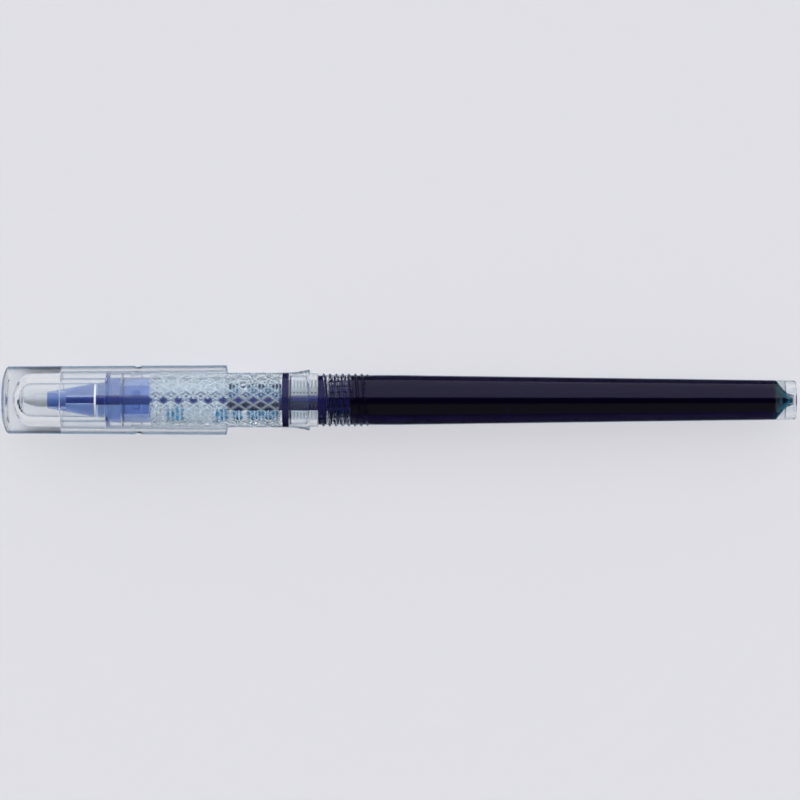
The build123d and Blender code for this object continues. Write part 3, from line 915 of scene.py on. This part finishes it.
height = maths(thread_tree, "MULTIPLY", rise, ramp(thread_tree, inside, 0.0, RUNOUT * MM))
threaded = raised(thread_tree, given["Geometry"], height, outer, outwards)
material_end(thread_tree, threaded, given["Material"])

# %% reservoir and thread
THREAD_FRONT = PILOT_LENGTH + 0.42
THREAD_REAR = NECK_LENGTH - 0.45
THREAD_LEAD = 2.0
THREAD_STARTS = 2
THREAD_HEIGHT = 0.28
THREAD_BASE = 0.5
THREAD_CREST = 0.14
THREAD_STEP = 0.0625       # rows of points along the neck are this far apart
TAIL_RECESS = (2.0, 1.7)   # radius, depth
NIPPLE = (1.3, 0.7, 1.4)   # base radius, tip radius, length
INK_TIP_R = 0.3
INK_CONE = 2.1
INK_CONE_END_R = 0.42

recess_x = tail_end - TAIL_RECESS[1]
nipple_tip = recess_x + NIPPLE[2]
cone_end = recess_x + NIPPLE[2] / 3
cone_start = cone_end - INK_CONE
barrel_slope = (TAIL_R - BARREL_R) / (tail_end - BARREL_PLAIN_END)
cone_start_r = BARREL_R + barrel_slope * (cone_start - BARREL_PLAIN_END) - BARREL_WALL
reservoir_bore = [
    (spigot_front, NECK_BORE),
    (NECK_LENGTH, NECK_BORE),
    (BARREL_PLAIN_END, BARREL_R - BARREL_WALL),
    (cone_start, cone_start_r),
    (cone_end, INK_CONE_END_R),
    (ink_tip, INK_TIP_R),
    (ink_tip, 0),
]
outside = [
    (nipple_tip, 0),
    (nipple_tip, NIPPLE[1], 0.12),
    (recess_x, NIPPLE[0], 0.1),
    (recess_x, TAIL_RECESS[0], 0.12),
    (tail_end, TAIL_RECESS[0], 0.2),
    (tail_end, TAIL_R, 0.25),
    (BARREL_PLAIN_END, BARREL_R),
    (NECK_LENGTH, BARREL_R),
]
neck_rows = stations(PILOT_LENGTH, NECK_LENGTH, THREAD_STEP)
outside += [(x, NECK_R) for x in reversed(neck_rows)]
outside += [
    (PILOT_LENGTH, pilot_r, 0.05),
    (0, pilot_r),
    (-REGISTER_DEPTH, pilot_r - REGISTER_DROP),
    (-REGISTER_DEPTH, NECK_R),
    (spigot_front, NECK_R, 0.1),
]
reservoir = turned("reservoir_moulding", reservoir_bore + outside)
grow(reservoir, thread_tree, {
    "Front": THREAD_FRONT * MM, "Rear": THREAD_REAR * MM, "Root radius": NECK_R * MM,
    "Lead": THREAD_LEAD * MM, "Height": THREAD_HEIGHT * MM, "Base": THREAD_BASE * MM,
    "Crest": THREAD_CREST * MM, "Starts": THREAD_STARTS, "Material": reservoir_clear,
})
settle(reservoir)

# %% [markdown]
# ## Ink
# The charge fills the barrel from the comb to the tail. Ink wets the wall, so no air lies between
# them; the ink's surface is set a hair inside the wall, and light goes from polymer straight into
# ink. In the tail's cone the ink ends in a thin edge that light still crosses, so the black body
# is a little slimmer there and a teal film keeps the true outline.

# %% the charge and its teal edge
WET = 0.02                 # how far an ink surface reaches into the wall that it wets
EDGE_FILM = 0.07           # thickness of the see-through edge in the cone

bore_slope = (cone_start_r - (BARREL_R - BARREL_WALL)) / (cone_start - BARREL_PLAIN_END)
film_front = cone_start - 0.2
film_front_r = cone_start_r - bore_slope * (cone_start - film_front)
charge = turned("main_ink", [
    (charge_front + FIT, 0),
    (charge_front + FIT, NECK_BORE + WET),
    (NECK_LENGTH, NECK_BORE + WET),
    (BARREL_PLAIN_END, BARREL_R - BARREL_WALL + WET),
    (film_front, film_front_r + WET),
    (cone_start + 0.1, cone_start_r - EDGE_FILM, 0.3),
    (cone_end - 0.25, INK_CONE_END_R * 0.5),
    (ink_tip - 0.5, 0),
], closed=False, around=128)
charge.data.materials.append(blue_black_ink)
edge = turned("cone_ink_edge", [
    (film_front, 0),
    (film_front, film_front_r + WET / 2),
    (cone_start, cone_start_r + WET),
    (cone_end, INK_CONE_END_R + WET),
    (ink_tip, INK_TIP_R + WET, 0.1),
    (ink_tip, 0),
], closed=False, around=128)
edge.data.materials.append(teal_film)
print("charge:", len(charge.data.polygons), "faces")

# %% [markdown]
# ## Ink in the comb
# Some ink stands in the comb: three full rings near the neck, and a blade in the ink slot. Beside
# the slot it creeps round between the fins as thin cyan films, a few fins at a time, and paler
# traces of it stand on the other side of the top. Near the barrel the neck's gaps are full, with a
# thin sleeve of ink between fins and wall. A last ring was drawn into the joint of plug and
# housing. The films are one small arc, set on a line of points with the fins' own pitch by
# Geometry Nodes.

# %% rings and blade
RINGS = (
    (counterbore, spigot_front, counterbore_r),
    (NECK_COMB - 0.1, NECK_COMB + 0.14, NECK_BORE),
    (PILOT_LENGTH + 0.08, neck_ink_rear, NECK_BORE),
)
BLADE_FRONT = -12.9
SLOT_WET = 0.01


def joined(name, objects, material):
    """Several meshes as one object with one material."""
    bm = bmesh.new()
    for piece in objects:
        bm.from_mesh(piece.data)
    for face in bm.faces:
        face.material_index = 0
    whole = finished(name, bm)
    for piece in objects:
        bpy.data.objects.remove(piece)
    whole.data.materials.append(material)
    return whole


ring_pieces = [
    turned("ring", [(front, CORE_R), (rear, CORE_R), (rear, r + WET), (front, r + WET)])
    for front, rear, r in RINGS
]
width, angle = INK_SLOT
blade = slot_cutter("blade", BLADE_FRONT, comb_rear, WICK_BORE, fin_r, width + 2 * SLOT_WET, angle)
comb_ink = joined("comb_ink", ring_pieces + [blade], band_ink)
print("ink in the comb:", len(comb_ink.data.polygons), "faces")

# %% ink drawn into the joint between plug and housing
ring_x, ring_width, ring_inner = -29.5, 0.22, HOUSING_BORE - 0.1
joint_ring = turned("joint_ring", [
    (ring_x, ring_inner), (ring_x + ring_width, ring_inner),
    (ring_x + ring_width, HOUSING_BORE + WET), (ring_x, HOUSING_BORE + WET),
])
joint_ring.data.materials.append(band_ink)
print("joint ring:", len(joint_ring.data.polygons), "faces")

# %% creeping films
CREEP = (-55, -26)         # degrees round from the top towards +Y, as the next four also are
TRACE = (8, 42)
NECK_CREEP = (-80, -26)
NECK_FILL = (-24, 140)
NECK_SLEEVE = (-84, 160)
NECK_DRY_FINS = 11         # fins of the neck that stand in front of its ink
neck_wet_from = NECK_COMB + FINE_PITCH * NECK_DRY_FINS
FILMS = (                  # first gap, number of gaps, pitch, reach, material
    (COMB_FRONT + COARSE_PITCH * 3, 4, COARSE_PITCH, CREEP, cyan_film),
    (FINE_FROM - COARSE_PITCH * 3, 3, COARSE_PITCH, CREEP, cyan_film),
    (FINE_FROM + FINE_PITCH, 3, FINE_PITCH, CREEP, cyan_film),
    (VENT_X + VENT_CHAMBER / 2, 9, FINE_PITCH, CREEP, cyan_film),
    (FINE_FROM, 3, FINE_PITCH, TRACE, trace_film),
    (VENT_X + VENT_CHAMBER / 2, 10, FINE_PITCH, TRACE, trace_film),
    (neck_wet_from, 6, FINE_PITCH, NECK_CREEP, neck_film),
    (neck_wet_from, 6, FINE_PITCH, NECK_FILL, band_ink),
)
FILM_INNER = 2.4
ARC_POINTS = 14


def film_arc(name, inner, outer, thickness, reach):
    """A flat arc of ink that fills one gap between two fins, with its front face at X = 0."""
    rim = [math.radians(a) for a in stations(*reach, (reach[1] - reach[0]) / ARC_POINTS)]
    outline = [(outer, a) for a in rim] + [(inner, a) for a in reversed(rim)]
    bm = bmesh.new()
    front, back = (
        [bm.verts.new((x * MM, r * math.sin(a) * MM, r * math.cos(a) * MM)) for r, a in outline]
        for x in (0, thickness)
    )
    bm.faces.new(front)
    bm.faces.new(back)
    for quad in zip(front, front[1:] + front[:1], back[1:] + back[:1], back):
        bm.faces.new(quad)
    bmesh.ops.recalc_face_normals(bm, faces=bm.faces[:])
    return finished(name, bm)


row_tree, given = new_tree("films_in_gaps", ("First gap", "Pitch"), ("Count",))
row = line_of_points(row_tree, given, "First gap")
copies = add(row_tree, "GeometryNodeInstanceOnPoints", {"Points": row, "Instance": given["Geometry"]})
material_end(row_tree, copies, given["Material"])

film_rows = {cyan_film: [], trace_film: [], neck_film: [], band_ink: []}
for first_gap, count, pitch, reach, ink in FILMS:
    bore_r = NECK_BORE if first_gap > spigot_front else HOUSING_BORE
    gap = pitch * (1 - FIN_SHARE)
    row_of_films = film_arc("films", FILM_INNER, bore_r + WET, gap + 2 * SLOT_WET, reach)
    grow(row_of_films, row_tree, {
        "First gap": (first_gap + pitch * FIN_SHARE - SLOT_WET) * MM,
        "Pitch": pitch * MM, "Count": count, "Material": ink,
    })
    settle(row_of_films)
    film_rows[ink].append(row_of_films)
sleeve_length = charge_front - neck_wet_from
sleeve = film_arc("sleeve", NECK_BORE - FIN_FIT, NECK_BORE + WET, sleeve_length, NECK_SLEEVE)
sleeve.data.transform(Matrix.Translation((neck_wet_from * MM, 0, 0)))
film_rows[neck_film].append(sleeve)
comb_films = joined("comb_films", film_rows[cyan_film], cyan_film)
neck_films = joined("neck_films", film_rows[band_ink], band_ink)
neck_creep = joined("neck_creep", film_rows[neck_film], neck_film)
comb_traces = joined("comb_traces", film_rows[trace_film], trace_film)
print("films in", len(FILMS), "rows, and a sleeve")

# %% [markdown]
# ## Travel cap
# One clear moulding: a thick closed front with a domed chamber for the point, a sleeve that seals
# on the holder's land, and a socket over the housing. Four sink dimples outside stand over four
# snap beads inside. The turned body takes them by Boolean: beads welded on, dimples cut.

# %% cap body
CAP_TAPER = 0.2
END_WALL = 1.73
CROWN = (0.7, 2.6)         # height of the domed end, radius of its flat
CROWN_EDGE = (0.15, 0.2)   # how far behind and inside its edge the crown gives way to the side
CROWN_STEP = 0.3
SLEEVE_END = FLANGE_FRONT - 0.1
SOCKET_START = SLEEVE_END - 7.1
CHAMBER_R = (2.65, 2.78)
SEAL_R = LAND_R[1] + 0.03
SLEEVE_R = SEAL_R + 0.57
SOCKET_R_CAP = (4.57, 4.77)
DOME_STEPS = 12

chamber_front = cap_front + END_WALL
dome_end = chamber_front + CHAMBER_R[0]
dome = []
for angle in stations(0, math.pi / 2, math.pi / 2 / DOME_STEPS):
    dome.append((dome_end - CHAMBER_R[0] * math.cos(angle), CHAMBER_R[0] * math.sin(angle)))
dome[0] = (chamber_front, 0)
crown_height, crown_flat = CROWN
cap_edge = cap_front + crown_height
cap_edge_r = cap_r - CAP_TAPER
crown_r = (crown_height ** 2 + (cap_edge_r - crown_flat) ** 2) / (2 * crown_height)
crown = []
for r in reversed(stations(crown_flat, cap_edge_r - CROWN_EDGE[1], CROWN_STEP)):
    crown.append((cap_front + crown_r - math.sqrt(crown_r ** 2 - (r - crown_flat) ** 2), r))
cap = turned("cap_moulding", dome + [
    (LAND_FRONT, CHAMBER_R[1]),
    (LAND_REAR, SEAL_R),
    (SLEEVE_END, SEAL_R + LEAD_IN, 0.06),
    (SLEEVE_END, SLEEVE_R, 0.12),
    (SOCKET_START, SLEEVE_R, 0.15),
    (SOCKET_START, SOCKET_R_CAP[0], 0.15),
    (cap_rim, SOCKET_R_CAP[1], 0.08),
    (cap_rim, cap_r, 0.12),
    (cap_edge + CROWN_EDGE[0], cap_edge_r, 0.12),
] + crown + [(cap_front, 0)])
cap.data.materials.append(cap_san)
print("cap body:", len(cap.data.polygons), "faces")

# %% snap beads and sink dimples
CAP_WALL = 0.73
BEAD = (1.2, 2.8)          # along X, across
DIMPLE = (1.0, 2.7)
PAD_CORNER = 0.3           # rounding of a bead's or dimple's corners
BEAD_CLEAR_R = HOUSING_R + 0.02
QUARTERS = (0, 90, 180, 270)


def pad(name, length, width, inner, outer, angle):
    """A rounded rectangular block over the snap groove, between two radii."""
    front, rear = SNAP_GROOVE - length / 2, SNAP_GROOVE + length / 2
    block = slot_cutter(name, front, rear, inner, outer, width, angle)
    bm = bmesh.new()
    bm.from_mesh(block.data)
    turn = math.radians(angle)
    outwards = Vector((0, math.sin(turn), math.cos(turn)))
    upright = []
    for edge in bm.edges:
        line = (edge.verts[1].co - edge.verts[0].co).normalized()
        if abs(line.dot(outwards)) > 0.9:
            upright.append(edge)
    bmesh.ops.bevel(bm, geom=upright, offset=PAD_CORNER * MM, segments=5, affect="EDGES", profile=0.5)
    bmesh.ops.recalc_face_normals(bm, faces=bm.faces[:])
    bm.to_mesh(block.data)
    bm.free()
    return block


outer_at_bead = cap_r - CAP_TAPER * (cap_rim - SNAP_GROOVE) / (cap_rim - cap_edge)
dimple_floor = math.sqrt(outer_at_bead ** 2 - (DIMPLE[1] / 2) ** 2)
bead_top = outer_at_bead - CAP_WALL / 2
beads = [pad("bead", *BEAD, BEAD_CLEAR_R, bead_top, quarter) for quarter in QUARTERS]
combine(cap, beads, "UNION")
dimples = [pad("dimple", *DIMPLE, dimple_floor, cap_r + 1, quarter) for quarter in QUARTERS]
combine(cap, dimples, "DIFFERENCE")

# %% [markdown]
# ## Riding and replacing
# Every piece moves with the CAD body that it belongs to and stands for the CAD node whose shape
# it refines. The films, the joint's ring and the teal edge stand for no node of their own.

# %% what each piece stands for
pieces = (
    (cap, "cap", ("travel_cap",), "cap_san"),
    (ball, "ball", ("writing_ball",), "carbide"),
    (point, "refill", ("steel_point",), "point_steel"),
    (holder, "refill", ("tip_holder",), "tinted_polymer"),
    (wick, "refill", ("wick",), "wick_fibre"),
    (housing, "refill", ("front_housing",), "housing_clear"),
    (comb, "refill", ("collector",), "comb_clear"),
    (reservoir, "refill", ("reservoir",), "reservoir_clear"),
    (comb_ink, "refill", ("collector_ink",), "ink"),
    (comb_films, "refill", (), "ink"),
    (neck_films, "refill", (), "ink"),
    (neck_creep, "refill", (), "ink"),
    (comb_traces, "refill", (), "ink"),
    (joint_ring, "refill", (), "ink"),
    (charge, "refill", ("ink_charge",), "ink"),
    (edge, "refill", (), "ink"),
)
for piece, body, nodes, slot in pieces:
    smooth(piece)
    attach(piece, body)
    if nodes:
        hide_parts(*nodes)
    print(f"{piece.name} rides on {body}: {len(piece.data.polygons)} faces")

# %% [markdown]
# ## Floor, light and camera
# The pen lies on a plain pale sheet. Clear polymer shows what surrounds it, so the light is a soft
# studio dome, painted on the world by angle round the pen's axis: a broad bright panel on the +Y
# side, a dimmer one on the -Y side, nothing behind the camera, and a grey-blue underside for walls
# seen edge-on. Light that has passed through a piece sees a plain backdrop instead, with the room
# above it dark, so that reflections inside the walls don't veil the ink. Two lamps that no
# reflection shows lift the sheet: one from above, and one without a shadow from the +Y side.

# %% floor
FLOOR_SIZE = 3.0           # metres
floor_z = cad_box[0].z
bm = bmesh.new()
bmesh.ops.create_grid(bm, x_segments=1, y_segments=1, size=FLOOR_SIZE / 2)
floor = finished("floor", bm)
floor.location.z = floor_z
floor.visible_glossy = False
paper = bpy.data.materials.new("matt_paper")
paper.use_nodes = True
tree = paper.node_tree
tree.nodes.clear()
sheet = add(tree, "ShaderNodeBsdfDiffuse", {"Color": hex_colour("#dbdbe1")})
add(tree, "ShaderNodeOutputMaterial", {"Surface": sheet})
floor.data.materials.append(paper)
print("floor at", round(floor_z / MM, 2), "mm")

# %% dome and lamp
PANEL_EDGE = 4             # degrees over which a panel's edge fades
BRIGHT_PANEL = (12.6, 106, 0.46)  # start and stop in degrees from upright, radiance
DIM_PANEL = (18, 74, 0.12)
SHADE = (-95, 12)          # degrees from upright, towards +Y, between which the room above is dark
SHADE_EDGE = 6
SHADE_SHARE = 0.93         # how much darker it is there
UNDERSIDE = 150            # degrees from upright; beyond it a wall seen edge-on mirrors the sheet
UNDERSIDE_COLOUR = "#8499ae"

world = bpy.data.worlds.new("studio_dome")
bpy.context.scene.world = world
world.use_nodes = True
tree = world.node_tree
tree.nodes.clear()
look = add(tree, "ShaderNodeTexCoord").outputs["Generated"]
part = add(tree, "ShaderNodeSeparateXYZ", {0: look}).outputs
angle = maths(tree, "ARCTAN2", part["Y"], part["Z"])
degrees = maths(tree, "DEGREES", angle)


def soft(value, place, edge, first=0.0, last=1.0):
    """A smooth change from first to last within an edge on both sides of a place."""
    return ramp(tree, value, place - edge, place + edge, first, last, interpolation_type="SMOOTHSTEP")


def panel(value, start, stop, edge, level):
    """A level between two angles that fades to nothing outside them."""
    return maths(tree, "MULTIPLY", soft(value, start, edge), soft(value, stop, edge, level, 0.0))


panels = []
for side, (start, stop, radiance) in ((1.0, BRIGHT_PANEL), (-1.0, DIM_PANEL)):
    turned_to = maths(tree, "MULTIPLY", degrees, side)
    panels.append(panel(turned_to, start, stop, PANEL_EDGE / 2, radiance))
glow = maths(tree, "ADD", *panels)
below = soft(maths(tree, "ABSOLUTE", degrees), UNDERSIDE, PANEL_EDGE)
dome_light = add(tree, "ShaderNodeBackground", {
    "Color": tones(tree, below, "#ffffff", UNDERSIDE_COLOUR),
    "Strength": maths(tree, "MAXIMUM", glow, below),
})
rays = add(tree, "ShaderNodeLightPath").outputs
window = panel(degrees, *SHADE, SHADE_EDGE, SHADE_SHARE)
shade = maths(tree, "MULTIPLY", window, rays["Is Transmission Ray"])
shaded = maths(tree, "SUBTRACT", 1.0, shade)
plain = add(tree, "ShaderNodeBackground", {"Color": hex_colour(BACKDROP), "Strength": shaded})
open_view = maths(tree, "MAXIMUM", rays["Is Camera Ray"], rays["Is Transmission Ray"])
seen = add(tree, "ShaderNodeMixShader", {0: open_view, 1: dome_light, 2: plain})
add(tree, "ShaderNodeOutputWorld", {"Surface": seen})
print("dome:", len(tree.nodes), "nodes")

# %% lamps
LAMPS = (                  # name, energy, degrees from upright towards +Y, shadow
    ("overhead", 1.9, 0, True),
    ("side", 1.1, 50, False),
)
LAMP_SPREAD = 20           # degrees that a lamp spans in the sky, which softens its shadow

for name, energy, tilt, shadow in LAMPS:
    lamp = bpy.data.lights.new(name, "SUN")
    lamp.energy = energy
    lamp.angle = math.radians(LAMP_SPREAD)
    lamp.use_shadow = shadow
    lamp_object = bpy.data.objects.new(name, lamp)
    lamp_object.rotation_euler = (-math.radians(tilt), 0, 0)
    lamp_object.visible_glossy = False
    lamp_object.visible_transmission = False
    bpy.context.scene.collection.objects.link(lamp_object)
    print("lamp:", name)

# %% camera
CAMERA_HEIGHT = 0.588
VIEW_WIDTH = 0.1264
SENSOR = 36.0              # a camera's full frame, in Blender's own millimetres
BOUNCES = 40               # many turns of light in walls within walls
FRAMING = 0.13 * MM        # the pen sits this much off the middle of the view

camera_data = bpy.data.cameras.new("camera")
camera_data.sensor_width = SENSOR
camera_data.lens = SENSOR * CAMERA_HEIGHT / VIEW_WIDTH
camera_data.clip_start = 0.01
camera = bpy.data.objects.new("camera", camera_data)
scene = bpy.context.scene
scene.collection.objects.link(camera)
camera.location = ((cad_box[0].x + cad_box[1].x) / 2 + FRAMING, 0, CAMERA_HEIGHT)
bpy.context.scene.camera = camera
scene.view_settings.view_transform = "Standard"
scene.cycles.max_bounces = BOUNCES
scene.cycles.glossy_bounces = BOUNCES
scene.cycles.transmission_bounces = BOUNCES
scene.cycles.transparent_max_bounces = BOUNCES
print("camera looks straight down from", CAMERA_HEIGHT, "m")

# %% sizes and finish
print("CAD box", [[round(v / MM, 2) for v in c] for c in cad_box])
